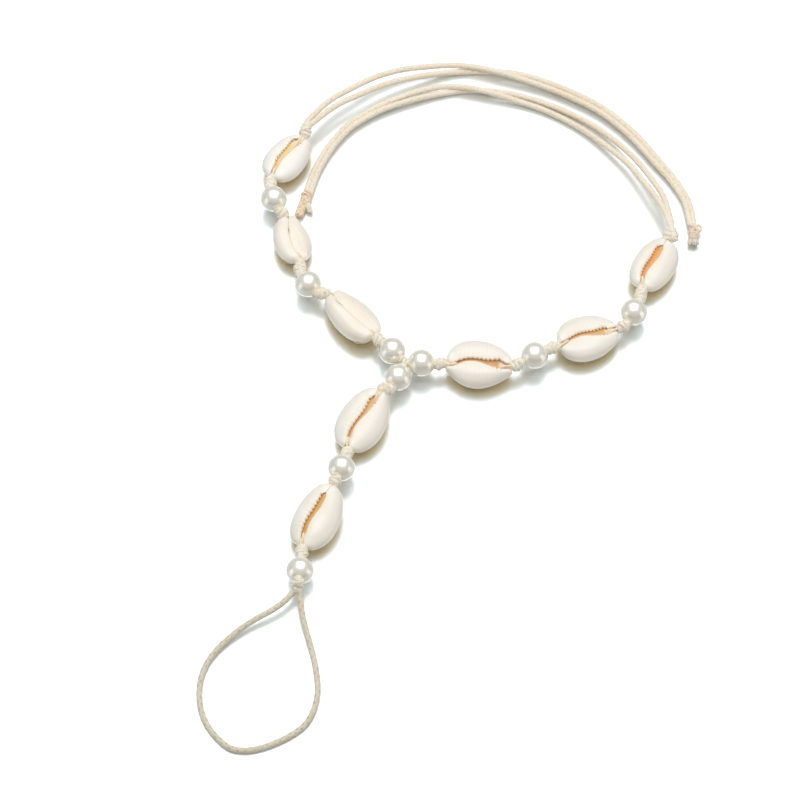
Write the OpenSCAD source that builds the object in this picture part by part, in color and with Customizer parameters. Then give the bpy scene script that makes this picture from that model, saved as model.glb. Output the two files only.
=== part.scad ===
// Barefoot shell anklet: a knotted cord with cowrie shells and pearls, laid untied on a flat surface.
// X runs to the right, Y away from the toe loop and Z up. The surface is at Z = 0.

/* [Shells] */
// Depth of the dome under a shell's margin, as a share of the shell's length
dome_share = 0.24; // [0.22:0.01:0.28]
// Height of the lips over the margin, as a share of the shell's length
lip_share = 0.18; // [0.17:0.01:0.2]
// Thickness of the wall of the dome
shell_wall = 0.9; // [0.8:0.05:1]
// Thickness of the rolled lips beside the slit
lip_thick = 1.6; // [1.4:0.1:1.7]
// Depth of the teeth on the lips
tooth_depth = 0.3; // [0:0.05:0.4]
// Width of the canal that the string leaves a shell by
canal_w = 2.2; // [2.1:0.1:2.4]
// Width of a shell's blunt tip
tip_w = 4.4; // [4.2:0.1:4.8]

/* [Pearls] */
// Diameter of a pearl
pearl_d = 8; // [7.6:0.1:8.2]
// Diameter of the hole drilled through a pearl
pearl_bore = 2.2; // [2.1:0.1:3]

/* [Cord] */
// Diameter of one strand of the cord
cord_d = 1.5; // [1.3:0.1:1.6]
// Diameter of the two strands pressed together inside a bead
string_d = 1.7; // [1.5:0.1:1.8]
// Diameter of a knot between two beads
knot_d = 4.2; // [3.8:0.1:4.6]
// Diameter of the knot at the end of a tie
end_knot_d = 4.2; // [3.8:0.1:4.6]
// Gap between the end of a free cord and the knot that holds it
seat_gap = 0.2; // [0.1:0.1:0.4]

/* [Hidden] */

shell_colour = "#f6ebe1";
pearl_colour = "#f4f2ec";
cord_colour = "#eddcc0";

// Columns: middle in X and Y, turn of the front tip from +X, lift of the front tip, roll to the right,
// length, width of the left and of the right half, opening of the slit, bow of the slit to the left,
// how much more the slit bows at the rear, how pointed the left and the right half are
X = 0;
Y = 1;
TURN = 2;
TILT = 3;
ROLL = 4;
LENGTH = 5;
LEFT_W = 6;
RIGHT_W = 7;
GAPE = 8;
BOW = 9;
REAR_BOW = 10;
LEFT_POINT = 11;
RIGHT_POINT = 12;
SHELLS = [
    [-55.2, 67.2, 56, 0, 0, 17, 6, 5.8, 1.4, 1.05, -0.4, 0.62, 0.75],
    [-53.3, 38.4, 106, 0, 10, 16, 5.9, 5.9, 0.4, 1.2, 0.2, 0.8, 0.8],
    [-35.3, 11.2, 133, 0, 10, 19.4, 5.9, 6.2, 0.3, 0.7, 0, 0.75, 0.65],
    [2.3, -5.5, -4, 0, 5, 19.7, 8.3, 6.7, 1.2, 0.8, 0.95, 0.62, 1.15],
    [34.7, 4, 18, 0, 0, 18.3, 7.7, 6.8, 1.2, 0.5, 1.5, 0.62, 0.8],
    [55.3, 29.3, 65, 0, 0, 18.3, 6.1, 6.6, 2, 1, 0.5, 0.62, 0.8],
    [-31.5, -23.6, 63, 7, 0, 20.6, 7.4, 6.7, 1.2, 0.6, 1.7, 0.62, 0.8],
    [-44.7, -54.9, 65, 7, 0, 20.4, 6.5, 6.4, 1.5, 0.85, 0.7, 0.62, 0.8]
];

// Middle of each pearl
PEARLS = [
    [-59.2, 52, 5.6],
    [-48.4, 22.1, 5.8],
    [-23.3, -0.75, 6],
    [-14.7, -4.85, 6],
    [18.7, -2.3, 6],
    [48.5, 12.5, 5.8],
    [-21.55, -9.6, 6],
    [-37.9, -39.6, 6.4],
    [-49.5, -71.9, 5.4]
];

// Where the two arms and the drop meet, and where the strings end in their last knots
MEETING = [-19.4, -4.6, 6];
LEFT_TOP = [-49.6, 78.2, 6.4];
RIGHT_TOP = [60.5, 40.8, 6.2];
TOE_TOP = [-50.4, -77.6, 4.2];

// Middle of each pair of tie strands. Columns: X, Y, Z, half the distance between the strands,
// half the height of the upper strand over the other where they cross
LEFT_TIE = [
    [-49.1, 78.7, 6.3, 0.85, 0],
    [-42.1, 86.1, 5.8, 1.3, 0],
    [-35.2, 90.8, 5.2, 1.6, 0],
    [-28, 95.2, 4.4, 1.8, 0],
    [-20.4, 98.4, 3.5, 1.8, 0],
    [-12.5, 100.4, 2.6, 1.5, 0.1],
    [-4.6, 101.5, 2.1, 0.9, 0.6],
    [3.3, 101.2, 2.1, 0.1, 0.9],
    [11.2, 100, 2, -0.7, 0.7],
    [18.9, 98, 1.6, -1, 0.2],
    [26.4, 95.2, 1.1, -1.1, 0],
    [33.6, 91.7, 0.9, -1.2, 0],
    [40.5, 87.4, 0.9, -1.4, 0],
    [46.8, 81.9, 0.9, -1.3, 0],
    [52.3, 75.6, 0.9, -1.2, 0],
    [57.3, 68.6, 0.9, -1.1, 0],
    [62.2, 61.7, 0.9, -1.1, 0],
    [66.1, 54, 0.9, -0.9, 0],
    [67.5, 45.6, 1.3, -0.85, 0]
];
RIGHT_TIE = [
    [60.6, 41.6, 6.1, 0.85, 0],
    [58.8, 50.6, 5.6, 1.1, 0],
    [54.6, 58.9, 4.6, 1.3, 0],
    [49.7, 66.9, 3.4, 1.4, 0],
    [43.9, 73.7, 2.3, 1.6, 0],
    [37.6, 79.7, 1.5, 1.6, 0],
    [30.7, 84.4, 1.2, 1.4, 0],
    [23.5, 88.1, 1.3, 1.2, 0],
    [15.9, 90.8, 1.6, 1.1, 0.1],
    [8.1, 92.8, 2, 0.8, 0.6],
    [0.1, 94, 2, 0.1, 0.9],
    [-7.9, 93.9, 1.6, -1, 0.4],
    [-15.8, 92.2, 1.1, -1.6, 0],
    [-23.4, 89.4, 0.9, -1.6, 0],
    [-30.7, 85.6, 0.9, -1.2, 0],
    [-37.4, 80.4, 0.9, -0.9, 0],
    [-42.6, 73.3, 0.9, -0.85, 0],
    [-46.5, 65.3, 0.9, -0.85, 0],
    [-48.9, 57, 1.3, -0.85, 0]
];
// Middle line of the toe loop
TOE_LOOP = [
    [-51.3, -77.8, 4.1], [-53.9, -80.9, 3.8], [-57.7, -83.6, 3.3], [-61.8, -85.8, 2.8],
    [-65.7, -88.3, 2.2], [-69.4, -91.3, 1.7], [-72.7, -94.6, 1.3], [-75.4, -98.5, 1],
    [-77.1, -103.1, 0.8], [-77.5, -108, 0.8], [-76.9, -112.9, 0.8], [-75, -117.5, 0.8],
    [-72.1, -121.4, 0.8], [-68.4, -124.5, 0.8], [-63.9, -125.2, 0.8], [-59.4, -124.3, 0.8],
    [-55.1, -122.6, 0.8], [-51, -120.3, 0.8], [-47.4, -117.2, 0.8], [-45.2, -112.9, 0.8],
    [-44.2, -108.1, 0.8], [-44.4, -103.1, 0.8], [-45.2, -98.1, 0.8], [-46.4, -93.4, 1],
    [-47.7, -88.7, 1.5], [-48.9, -84, 2.5], [-49.6, -78.1, 4.1]
];
// Middle lines of the end knots with their frayed tails
LEFT_END = [[-49, 56.6, 1.7], [-49.5, 54.1, 2.1], [-49.8, 51.6, 2.1], [-51.2, 48.8, 1.5], [-52.2, 46.6, 1.2]];
RIGHT_END = [[67.6, 45.2, 1.7], [67.7, 43, 2.1], [67.7, 40.8, 2.1], [67.6, 38.6, 1.5], [67.6, 36.8, 1.3]];

// Numbers that fix a shell's form: rings along it, how blunt its outline is, where it is widest,
// how far its lips fall away at the tips and how long the open canals are
SHELL_RINGS = 19;
OUTLINE_POWER = 2.2;
DOME_POINT = 1.3;
WIDEST_AT = 0.12;
LIP_FALL = 0.35;
GAPE_GROWTH = 0.8;
CANAL_FROM = 0.58;
CANAL_TAPER = 0.22;
CREST_INSET = 0.7;
UNDERCUT = 0.15;
TIP_FLOOR = 1;
// How far the string dips inside a shell. Columns: place along half of the shell, depth
STRING_DIPS = [[0.85, 0.35], [0.7, 0.95]];
LOBE_ANGLES = [0, 35, 65, 90];
DOME_ANGLES = [30, 60];
// Shares of the lips' thickness down to the edge of the teeth and to the throat of the slit
LIP_EDGE = 0.35;
LIP_UNDER = 0.75;
TEETH_TO = 0.85;
TEETH_FADE = 0.2;
// The hollow: how far it stays from the margin and from the lips, how wide its roof is, how high its
// sides are, and how far in and how low its foot is
MARGIN_WALL = 0.4;
ROOF_WALL = 0.3;
ROOF_REACH = 0.45;
SIDE_HEIGHT = 0.3;
FOOT_REACH = 0.72;
FOOT_DEPTH = 0.75;
// How much closer the rings are at the tips
RING_SPREAD = 0.3;
PEARL_SIDES = 48;
BORE_SIDES = 32;

// Rows of a knot: place along it, share of its radius, height of its wraps
KNOT_ROWS = [[0.14, 0.66, 0.05], [0.3, 0.97, 0.1], [0.5, 0.9, 0.1], [0.7, 1, 0.1], [0.86, 0.66, 0.05]];
KNOT_SIDES = 12;
KNOT_TWIST = 150;
KNOT_WRAPS = 3;
KNOT_NECK = 0.04;
STRING_LEAD = 0.4;
PEARL_LEAD = 0.1;
CORD_SIDES = 8;
// Points in each span of a tie
TIE_STEPS = 2;
// Rows of an end knot: place along its middle line, share of its radius, height of its wraps
END_ROWS = [
    [0, 0.45, 0], [0.06, 0.8, 0.08], [0.16, 1, 0.08], [0.27, 0.92, 0.08], [0.38, 1, 0.08], [0.48, 0.8, 0.08],
    [0.56, 0.42, 0], [0.78, 0.4, 0], [1, 0.5, 0]
];

// Vectors
function unit(v) = v / norm(v);
function mix(a, b, t) = a + (b - a) * t;
function clamp01(t) = min(1, max(0, t));
function smooth(t) = let(c = clamp01(t)) c * c * (3 - 2 * c);
function about_x(p, a) = [p.x, p.y * cos(a) - p.z * sin(a), p.y * sin(a) + p.z * cos(a)];
function about_y(p, a) = [p.x * cos(a) + p.z * sin(a), p.y, p.z * cos(a) - p.x * sin(a)];
function about_z(p, a) = [p.x * cos(a) - p.y * sin(a), p.x * sin(a) + p.y * cos(a), p.z];

// Form of a shell with its slit up and its front tip at +Y, at a share u of its half length
function swell(u, point) =
    let(v = u + WIDEST_AT * (1 - u * u))
    pow(1 - pow(abs(v), OUTLINE_POWER), point);
function crest_z(s, u) = lip_share * s[LENGTH] * (1 - LIP_FALL * u * u);
function canal_floor(s) = crest_z(s, 1) - canal_w;
function tip_depth(s) = TIP_FLOOR - canal_floor(s);
function half_w(s, u, side) =
    side < 0
    ? mix(tip_w / 2, s[LEFT_W], swell(u, s[LEFT_POINT]))
    : mix(tip_w / 2, s[RIGHT_W], swell(u, s[RIGHT_POINT]));
function dome_depth(s, u) = mix(tip_depth(s), dome_share * s[LENGTH], swell(u, DOME_POINT));
function slit_x(s, u) = -s[BOW] * (1 - pow(u, 4)) * (1 - s[REAR_BOW] * u);
function half_gap(s, u) =
    mix(s[GAPE] / 2 * (1 + GAPE_GROWTH * u), canal_w / 2, smooth((abs(u) - CANAL_FROM) / CANAL_TAPER));
function string_z(s) = crest_z(s, 1) - canal_w / 2;

// One half of a section's outside, from the throat of the slit to the bottom of the dome
function outer_half(s, u, side, tooth) =
    let(
        m = slit_x(s, u),
        g = half_gap(s, u),
        top = crest_z(s, u),
        crest_x = m + side * (g + CREST_INSET),
        reach = half_w(s, u, side) - side * crest_x
    ) [
        [m + side * (g + UNDERCUT), top - LIP_UNDER * lip_thick],
        [m + side * (g - tooth), top - LIP_EDGE * lip_thick],
        for (a = LOBE_ANGLES) [crest_x + side * reach * sin(a), top * cos(a)],
        for (a = DOME_ANGLES) [side * half_w(s, u, side) * cos(a), -dome_depth(s, u) * sin(a)]
    ];
// One half of a section's inside, from under the lip to beside the bottom
function inner_half(s, u, side) =
    let(
        m = slit_x(s, u),
        g = half_gap(s, u),
        room = max(canal_w / 2 + UNDERCUT + side * m, half_w(s, u, side) - shell_wall - MARGIN_WALL),
        floor_z = min(canal_floor(s), shell_wall - dome_depth(s, u)),
        roof_z = crest_z(s, u) - lip_thick - ROOF_WALL,
        side_z = SIDE_HEIGHT * (floor_z + roof_z)
    ) [
        [m + side * mix(g + 2 * UNDERCUT, room - side * m, ROOF_REACH), roof_z],
        [side * room, side_z],
        [side * room * FOOT_REACH, mix(side_z, floor_z, FOOT_DEPTH)]
    ];
function reversed(list) = [for (i = [len(list) - 1:-1:0]) list[i]];
function shell_u(k) = let(t = 2 * k / (SHELL_RINGS - 1) - 1) t + RING_SPREAD * (t - pow(t, 3));
function shell_section(s, k) =
    let(
        u = shell_u(k),
        tooth = (k % 2) * tooth_depth * smooth((TEETH_TO - abs(u)) / TEETH_FADE) * min(1, s[GAPE]),
        bottom = [0, -dome_depth(s, u)],
        inside_bottom = [0, min(canal_floor(s), shell_wall - dome_depth(s, u))],
        loop = concat(
            outer_half(s, u, -1, tooth), [bottom], reversed(outer_half(s, u, 1, tooth)),
            inner_half(s, u, 1), [inside_bottom], reversed(inner_half(s, u, -1))
        )
    ) [for (p = loop) [p[0], u * s[LENGTH] / 2, p[1]]];
OUTER_COUNT = 2 * (2 + len(LOBE_ANGLES) + len(DOME_ANGLES)) + 1;
INNER_COUNT = 7;
SECTION_COUNT = OUTER_COUNT + INNER_COUNT;

function turned(s, p) = about_z(about_x(about_y(p, s[ROLL]), s[TILT]), s[TURN] - 90);
// A shell lies on the lowest point of its dome
SHELL_LIFTS = [
    for (s = SHELLS) -min([for (k = [0:SHELL_RINGS - 1]) for (p = shell_section(s, k)) turned(s, p).z])
];
function on_shell(i, p) = [SHELLS[i][X], SHELLS[i][Y], SHELL_LIFTS[i]] + turned(SHELLS[i], p);

// Triangles between two neighbouring rings of n points
function band(k, n) = [
    for (i = [0:n - 1])
        let(a = k * n + i, b = k * n + (i + 1) % n)
        each [[a, b, b + n], [a, b + n, a + n]]
];
// Triangles of a C-shaped end, which join each outside point to the inside point across the wall
function across(i) = OUTER_COUNT + (INNER_COUNT - 1) - floor(i * INNER_COUNT / OUTER_COUNT);
function c_end(offset) = [
    for (i = [0:OUTER_COUNT - 2])
        let(a = across(i), b = across(i + 1))
        each concat(
            [[offset + i, offset + i + 1, offset + a]],
            a == b ? [] : [[offset + i + 1, offset + b, offset + a]]
        )
];
function flipped(faces) = [for (f = faces) reversed(f)];

module cowrie(i) {
    s = SHELLS[i];
    last = (SHELL_RINGS - 1) * SECTION_COUNT;
    points = [for (k = [0:SHELL_RINGS - 1]) for (p = shell_section(s, k)) on_shell(i, p)];
    faces = concat(
        [for (k = [0:SHELL_RINGS - 2]) each band(k, SECTION_COUNT)],
        flipped(c_end(0)),
        c_end(last)
    );
    color(shell_colour) polyhedron(points, faces);
}

// A string runs through each shell from one tip to the other, and through each pearl's hole
function in_canal(i, u, dip) =
    let(s = SHELLS[i])
    on_shell(i, [slit_x(s, u), u * s[LENGTH] / 2, string_z(s) - dip]);
function shell_tip(i, end) =
    let(s = SHELLS[i])
    on_shell(i, [0, end * (s[LENGTH] / 2 + STRING_LEAD), string_z(s)]);
function shell_run(i, way) = concat(
    [shell_tip(i, -way), in_canal(i, -way, 0)],
    [for (d = STRING_DIPS) in_canal(i, -way * d[0], d[1])],
    [for (d = reversed(STRING_DIPS)) in_canal(i, way * d[0], d[1])],
    [in_canal(i, way, 0), shell_tip(i, way)]
);
// The two points that each pearl's hole is parallel to
PEARL_AIMS = [
    [shell_tip(0, -1), shell_tip(1, 1)],
    [shell_tip(1, -1), shell_tip(2, 1)],
    [PEARLS[2], MEETING],
    [MEETING, PEARLS[3]],
    [shell_tip(3, 1), shell_tip(4, -1)],
    [shell_tip(4, 1), shell_tip(5, -1)],
    [MEETING, PEARLS[6]],
    [shell_tip(6, -1), shell_tip(7, 1)],
    [shell_tip(7, -1), TOE_TOP]
];
function pearl_run(i) =
    let(way = (pearl_d / 2 + PEARL_LEAD) * unit(PEARL_AIMS[i][1] - PEARL_AIMS[i][0]))
    [PEARLS[i] - way, PEARLS[i] + way];

module pearl(i) {
    run = pearl_run(i);
    way = unit(run[1] - run[0]);
    turn = atan2(way.y, way.x);
    color(pearl_colour) translate(PEARLS[i]) difference() {
        sphere(d = pearl_d, $fn = PEARL_SIDES);
        rotate([0, acos(way.z), turn]) cylinder(d = pearl_bore, h = 2 * pearl_d, center = true, $fn = BORE_SIDES);
    }
}

// A ring is its middle, its direction, its radius, the height of its wraps and their turn
function ring(p, way, r, wrap = 0, twist = 0) = [p, unit(way), r, wrap, twist];
// A knot turns from the direction of the run before it to that of the run after it
function knot_rings(p, from, q, to) = concat(
    [ring(mix(p, q, KNOT_NECK), from, string_d / 2)],
    [
        for (row = KNOT_ROWS)
            ring(mix(p, q, row[0]), mix(from, to, row[0]), row[1] * knot_d / 2, row[2], row[0] * KNOT_TWIST)
    ],
    [ring(mix(p, q, 1 - KNOT_NECK), to, string_d / 2)]
);
// The bare rings inside a run, without its two ends, which belong to the knots beside it
function run_rings(run) = [
    for (i = [1:1:len(run) - 2]) ring(run[i], run[i + 1] - run[i - 1], string_d / 2)
];
function run_end(run, q) = let(n = len(run)) n == 1 ? unit(q - run[0]) : unit(run[n - 1] - run[n - 2]);
function run_start(run, p) = len(run) == 1 ? unit(run[0] - p) : unit(run[1] - run[0]);
function string_rings(runs) =
    let(n = len(runs) - 1)
    [
        for (i = [0:n])
            let(p = runs[i][len(runs[i]) - 1], q = i < n ? runs[i + 1][0] : p)
            each concat(
                run_rings(runs[i]),
                i == n ? [] : knot_rings(p, run_end(runs[i], q), q, run_start(runs[i + 1], p))
            )
    ];
function ring_points(r, sides) =
    let(across = unit(cross(r[1], [0, 0, 1])), up = cross(across, r[1]))
    [
        for (i = [0:sides - 1])
            let(a = 360 * i / sides, d = r[2] * (1 + r[3] * cos(KNOT_WRAPS * (a + r[4]))))
            r[0] + d * (cos(a) * across + sin(a) * up)
    ];
module tube(rings, sides) {
    count = len(rings);
    last = (count - 1) * sides;
    points = [for (r = rings) each ring_points(r, sides)];
    faces = concat(
        [for (k = [0:count - 2]) each band(k, sides)],
        [for (i = [1:sides - 2]) [0, i + 1, i]],
        [for (i = [1:sides - 2]) [last, last + i, last + i + 1]]
    );
    color(cord_colour) polyhedron(points, faces);
}

module ankle_string() {
    tube(
        string_rings([
            [LEFT_TOP], shell_run(0, -1), pearl_run(0), shell_run(1, -1), pearl_run(1), shell_run(2, -1),
            concat(pearl_run(2), [MEETING], pearl_run(3)),
            shell_run(3, 1), pearl_run(4), shell_run(4, 1), pearl_run(5), shell_run(5, 1), [RIGHT_TOP]
        ]),
        KNOT_SIDES
    );
}
// The drop starts beside the ankle string, where the two are tied together
module drop_string() {
    aside = (string_d / 2 + 2 * seat_gap) * unit(PEARLS[6] - MEETING);
    tube(
        concat(
            [ring(MEETING + aside, aside, string_d / 2)],
            string_rings([
                pearl_run(6), shell_run(6, -1), pearl_run(7), shell_run(7, -1), pearl_run(8), [TOE_TOP]
            ])
        ),
        KNOT_SIDES
    );
}

// A smooth line through hand-set points, with steps points in each span
function spline_point(a, b, c, d, t) =
    0.5 * (2 * b + (c - a) * t + (2 * a - 5 * b + 4 * c - d) * t * t + (3 * b - a - 3 * c + d) * pow(t, 3));
function spline(p, steps) =
    let(n = len(p) - 1)
    concat(
        [
            for (i = [0:n - 1]) for (j = [0:steps - 1])
                spline_point(p[max(0, i - 1)], p[i], p[i + 1], p[min(n, i + 2)], j / steps)
        ],
        [p[n]]
    );
function line_rings(line, d) =
    let(n = len(line) - 1)
    [for (i = [0:n]) ring(line[i], line[min(n, i + 1)] - line[max(0, i - 1)], d / 2)];
// One strand of a pair, on the left of its middle line where side is 1
function strand(pair, side) =
    let(n = len(pair) - 1, line = [for (p = pair) [p.x, p.y, p.z]])
    [
        for (i = [0:n])
            let(
                way = line[min(n, i + 1)] - line[max(0, i - 1)],
                left = unit([-way.y, way.x, 0])
            )
            line[i] + side * pair[i][3] * left + [0, 0, side * pair[i][4]]
    ];
module tie_strand(pair, side) {
    tube(line_rings(spline(strand(pair, side), TIE_STEPS), cord_d), CORD_SIDES);
}
module toe_loop() {
    tube(line_rings(TOE_LOOP, cord_d), CORD_SIDES);
}

// Place and direction at a share t of a line's points
function along(line, t) =
    let(f = t * (len(line) - 1), i = min(len(line) - 2, floor(f)))
    [mix(line[i], line[i + 1], f - i), line[i + 1] - line[i]];
module end_knot(line) {
    tube(
        [
            for (row = END_ROWS)
                let(at = along(line, row[0]))
                ring(at[0], at[1], row[1] * end_knot_d / 2, row[2], row[0] * KNOT_TWIST)
        ],
        KNOT_SIDES
    );
}

cowrie(0);  // shell_a
cowrie(1);  // shell_b
cowrie(2);  // shell_c
cowrie(3);  // shell_d
cowrie(4);  // shell_e
cowrie(5);  // shell_f
cowrie(6);  // shell_g
cowrie(7);  // shell_h
pearl(0);  // pearl_1
pearl(1);  // pearl_2
pearl(2);  // pearl_3
pearl(3);  // pearl_4
pearl(4);  // pearl_5
pearl(5);  // pearl_6
pearl(6);  // pearl_7
pearl(7);  // pearl_8
pearl(8);  // pearl_9
ankle_string();
drop_string();
toe_loop();
tie_strand(LEFT_TIE, 1);  // left_tie_upper
tie_strand(LEFT_TIE, -1);  // left_tie_lower
tie_strand(RIGHT_TIE, 1);  // right_tie_upper
tie_strand(RIGHT_TIE, -1);  // right_tie_lower
end_knot(LEFT_END);  // left_end_knot
end_knot(RIGHT_END);  // right_end_knot
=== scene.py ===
"""Barefoot shell anklet: cowries, pearls and knotted cream cord, laid out on a pale glossy table."""

import logging
import math
from dataclasses import dataclass, field
from enum import Enum

import bpy
import numpy as np
from numpy.typing import ArrayLike
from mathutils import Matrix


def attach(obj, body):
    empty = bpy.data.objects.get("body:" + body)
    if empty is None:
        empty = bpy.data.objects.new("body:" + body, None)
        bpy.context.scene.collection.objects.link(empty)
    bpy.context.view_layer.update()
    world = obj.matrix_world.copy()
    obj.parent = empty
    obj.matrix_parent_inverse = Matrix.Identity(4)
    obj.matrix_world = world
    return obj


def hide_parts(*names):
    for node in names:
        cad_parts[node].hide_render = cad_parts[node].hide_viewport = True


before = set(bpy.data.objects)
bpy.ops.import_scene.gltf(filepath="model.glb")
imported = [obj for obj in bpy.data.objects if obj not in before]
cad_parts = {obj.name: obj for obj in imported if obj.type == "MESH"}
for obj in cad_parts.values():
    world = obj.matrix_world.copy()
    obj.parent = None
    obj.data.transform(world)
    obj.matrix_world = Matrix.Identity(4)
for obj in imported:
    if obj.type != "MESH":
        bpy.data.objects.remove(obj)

Array = np.ndarray
Material = bpy.types.Material
Socket = bpy.types.NodeSocket

log = logging.getLogger("anklet")

MM = 0.001
FULL_TURN = 2 * math.pi
PHOTO_MIDDLE = np.array([-21.0, -14.0, 0.0])

# Sizes shared by the pieces, in millimetres.
CANAL_W = 2.2
STRING_LEAD = 0.4
PEARL_D = 8.0
PEARL_BORE = 2.2
BRAID_PITCH = 2.4
TWIST_PITCH = 2.2


class Ply(Enum):
    """How a cord is laid up."""

    TWISTED = "twisted"
    BRAIDED = "braided"


class Side(Enum):
    """The two lips of a cowrie, seen with its slit up and its front tip away."""

    LEFT = -1
    RIGHT = 1


def unit(v: ArrayLike) -> Array:
    """Returns v at length one."""
    return np.asarray(v, float) / np.linalg.norm(v)


def smooth(t: ArrayLike) -> Array:
    """Returns an S-shaped step of t from 0 to 1."""
    t = np.clip(t, 0.0, 1.0)
    return t * t * (3.0 - 2.0 * t)


def bell(x: Array, middle: float, reach: float, power: int = 2) -> Array:
    """Returns a hump of x that is 1 at the middle and fades out past its reach."""
    return np.exp(-(((x - middle) / reach) ** power))


def mix(a: ArrayLike, b: ArrayLike, t: ArrayLike) -> Array:
    """Returns the value at the share t of the way from a to b."""
    return a + (b - a) * t


def around(angle: Array, across: Array, up: Array) -> Array:
    """Returns the directions at an angle from across towards up."""
    return np.cos(angle)[:, None] * across + np.sin(angle)[:, None] * up


def srgb(code: str) -> tuple[float, ...]:
    """Returns the linear colour of six hexadecimal digits, with alpha."""
    parts = [int(code[i : i + 2], 16) / 255 for i in (0, 2, 4)]
    return (*(c / 12.92 if c <= 0.04045 else ((c + 0.055) / 1.055) ** 2.4 for c in parts), 1.0)


@dataclass
class ShaderTree:
    """The nodes of a material or a world, with short calls that add and join them."""

    owner: Material | bpy.types.World

    def __post_init__(self) -> None:
        """Empties the tree."""
        self.owner.use_nodes = True
        self.owner.node_tree.nodes.clear()

    def add(self, kind: str, inputs: dict | None = None, **settings: object) -> bpy.types.Node:
        """Adds a node.

        Args:
            kind: The node's type, without the leading ShaderNode.
            inputs: A value, a colour code or an output socket for each socket name or number.
            settings: Properties of the node itself.

        Returns:
            The new node.
        """
        node = self.owner.node_tree.nodes.new("ShaderNode" + kind)
        for key, value in settings.items():
            setattr(node, key, value)
        for key, value in (inputs or {}).items():
            if isinstance(value, Socket):
                self.owner.node_tree.links.new(value, node.inputs[key])
            else:
                node.inputs[key].default_value = srgb(value) if isinstance(value, str) else value
        return node

    def noise(self, scale: float, detail: float) -> Socket:
        """Returns a noise value laid over the piece, scale being cells per metre."""
        where = self.add("TexCoord").outputs["Object"]
        return self.add("TexNoise", {"Vector": where, "Scale": scale, "Detail": detail}).outputs["Fac"]

    def mask(self, name: str) -> Socket:
        """Returns a value that the mesh stores at its points."""
        return self.add("Attribute", attribute_name=name).outputs["Fac"]

    def ramp(self, fac: Socket, *stops: tuple[float, str | tuple]) -> Socket:
        """Adds a colour ramp.

        Args:
            fac: The place on the ramp.
            stops: Places, each with a colour code or a linear colour, in order.

        Returns:
            The ramp's colour output.
        """
        node = self.add("ValToRGB", {"Fac": fac})
        line = node.color_ramp.elements
        while len(line) < len(stops):
            line.new(0.5)
        for element, (place, colour) in zip(line, stops):
            element.position = place
            element.color = srgb(colour) if isinstance(colour, str) else colour
        return node.outputs["Color"]

    def blend(self, fac: object, a: object, b: object, kind: str = "MIX") -> Socket:
        """Returns the colour between a and b."""
        return self.add("MixRGB", {"Fac": fac, "Color1": a, "Color2": b}, blend_type=kind).outputs["Color"]

    def span(self, value: Socket, low: float, high: float) -> Socket:
        """Returns a 0 to 1 value stretched to run from low to high."""
        return self.add("MapRange", {"Value": value, "To Min": low, "To Max": high}).outputs["Result"]

    def scaled(self, value: Socket, share: float) -> Socket:
        """Returns a value times a share."""
        return self.add("Math", {0: value, 1: share}, operation="MULTIPLY").outputs[0]

    def finish(self, inputs: dict, height: Socket | None = None, depth: float = 0.0) -> None:
        """Ends the tree in a Principled surface.

        Args:
            inputs: Its sockets.
            height: A value for the bump, if any.
            depth: How deep the bump is, in metres.
        """
        if height is not None:
            bump = self.add("Bump", {"Height": height, "Strength": 1.0, "Distance": depth})
            inputs = {**inputs, "Normal": bump.outputs["Normal"]}
        surface = self.add("BsdfPrincipled", inputs)
        self.add("OutputMaterial", {"Surface": surface.outputs["BSDF"]})


@dataclass(frozen=True)
class ShellFinish:
    """Polished cowrie: a pale face, an orange slit and an olive-yellow back, with painted shade in its grooves,
    crease and near the margin, and a painted highlight along the margin.
    """

    name: str
    face: str
    blush: str
    back: str = "ecc64a"

    # The throat's colour by the shell's glow.
    THROATS = ((0.0, "f6d8a2"), (0.2, "e6b47a"), (0.4, "e9b87e"), (0.6, "e5b066"), (0.8, "dda672"), (1.0, "efac66"))

    def material(self) -> Material:
        """Makes the finish.

        Returns:
            The material.
        """
        tree = ShaderTree(bpy.data.materials.new(self.name))
        patches, fine = tree.noise(110.0, 2.0), tree.noise(900.0, 4.0)
        face = tree.blend(tree.span(patches, -0.6, 1.5), self.face, self.blush)
        # Painted shade: the grooves between the ribs are darkened towards ecd2ba.
        face = tree.blend(tree.scaled(tree.mask("groove"), 0.22), face, "ecd2ba")
        # Painted shade: a darker band on the lobes near the margin, towards ecd6c2.
        face = tree.blend(tree.mask("band"), face, "ecd6c2")
        face = tree.blend(tree.span(fine, 0.0, 0.12), face, "fffaf2")
        back = tree.blend(tree.span(tree.noise(420.0, 5.0), -0.5, 1.4), self.back, "c49a32")
        colour = tree.blend(tree.mask("back"), face, back)
        # The margin line is lighter towards fffaf0: partly its own paler callus, partly a painted highlight of
        # light bounced up from the table.
        colour = tree.blend(tree.mask("rim"), colour, "fffaf0")
        throat = tree.ramp(tree.mask("glow"), *self.THROATS)
        # Where slit_deep is low the throat is lighter and peachier: painted light on the shaded left wall and
        # teeth.
        slit = tree.blend(tree.mask("slit_deep"), tree.blend(tree.mask("glow"), "fdecd2", "fbe0c2"), throat)
        colour = tree.blend(tree.mask("slit"), colour, slit)
        surface = {
            # Painted shade: the crease, the gaps between teeth and the fold are darkened towards 8a6238.
            "Base Color": tree.blend(tree.mask("crease"), colour, "8a6238"),
            "Roughness": tree.span(patches, 0.3, 0.42),
            "Specular IOR Level": tree.span(tree.mask("slit"), 0.5, 0.15),
            "Subsurface Weight": 0.12,
            "Subsurface Radius": (1.0, 0.62, 0.42),
            "Subsurface Scale": 0.0011,
            "Coat Weight": tree.span(tree.mask("slit"), 0.8, 0.0),
            "Coat Roughness": 0.2,
            "IOR": 1.5,
        }
        tree.finish(surface, fine, 0.00002)
        return tree.owner


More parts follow.
